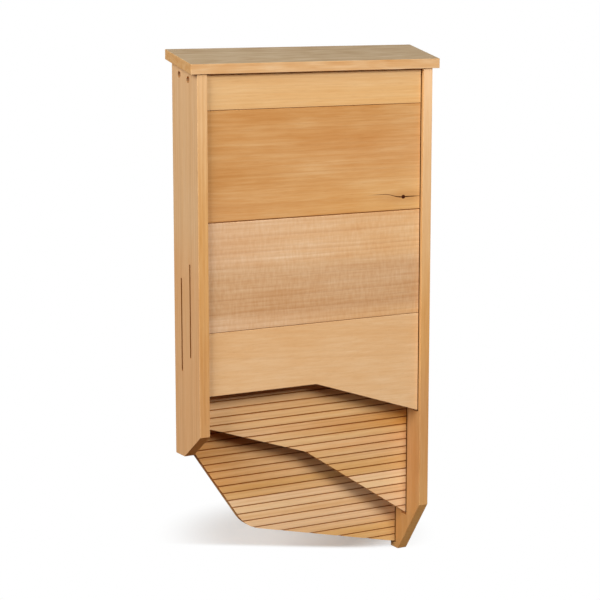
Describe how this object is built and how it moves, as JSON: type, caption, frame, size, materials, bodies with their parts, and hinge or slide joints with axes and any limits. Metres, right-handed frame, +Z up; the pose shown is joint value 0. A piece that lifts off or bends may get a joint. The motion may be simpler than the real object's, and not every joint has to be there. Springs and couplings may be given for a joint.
{
  "type": "bat box",
  "caption": "Flat wall-hung timber bat box with narrow roosting chambers open at the bottom, grooved landing boards and a sloping roof.",
  "frame": {"origin": "on the wall plane, midway between the hanging points of the keyhole plates, at the height where the wall screws carry the box", "axes": "+X to the right as seen from the front, +Y into the wall, +Z up"},
  "size_m": [0.442, 0.089, 0.8454],
  "materials": {
    "side_boards": "bare sanded timber, upright straight grain",
    "roof_board": "bare sanded timber, level grain, end grain at both ends",
    "dowels": "plain hardwood dowel",
    "front_boards": "bare sanded timber, level grain, tone changes from board to board",
    "partition_boards": "bare timber with level saw grooves",
    "back_boards": "bare timber with level saw grooves",
    "keyhole_plates": "zinc-plated",
    "plate_screws": "zinc-plated"
  },
  "bodies": {
    "root": {"side_board_left": "side_boards", "side_board_right": "side_boards", "roof_board": "roof_board", "roof_dowel_1": "dowels", "roof_dowel_2": "dowels", "roof_dowel_3": "dowels", "roof_dowel_4": "dowels", "front_board_1": "front_boards", "front_board_2": "front_boards", "front_board_3": "front_boards", "front_board_4": "front_boards", "partition_board_1": "partition_boards", "partition_board_2": "partition_boards", "partition_board_3": "partition_boards", "partition_board_4": "partition_boards", "partition_board_5": "partition_boards", "back_board_1": "back_boards", "back_board_2": "back_boards", "back_board_3": "back_boards", "back_board_4": "back_boards", "back_board_5": "back_boards", "keyhole_plate_left": "keyhole_plates", "keyhole_plate_right": "keyhole_plates", "plate_screw_left_1": "plate_screws", "plate_screw_left_2": "plate_screws", "plate_screw_right_1": "plate_screws", "plate_screw_right_2": "plate_screws"}
  },
  "joints": []
}
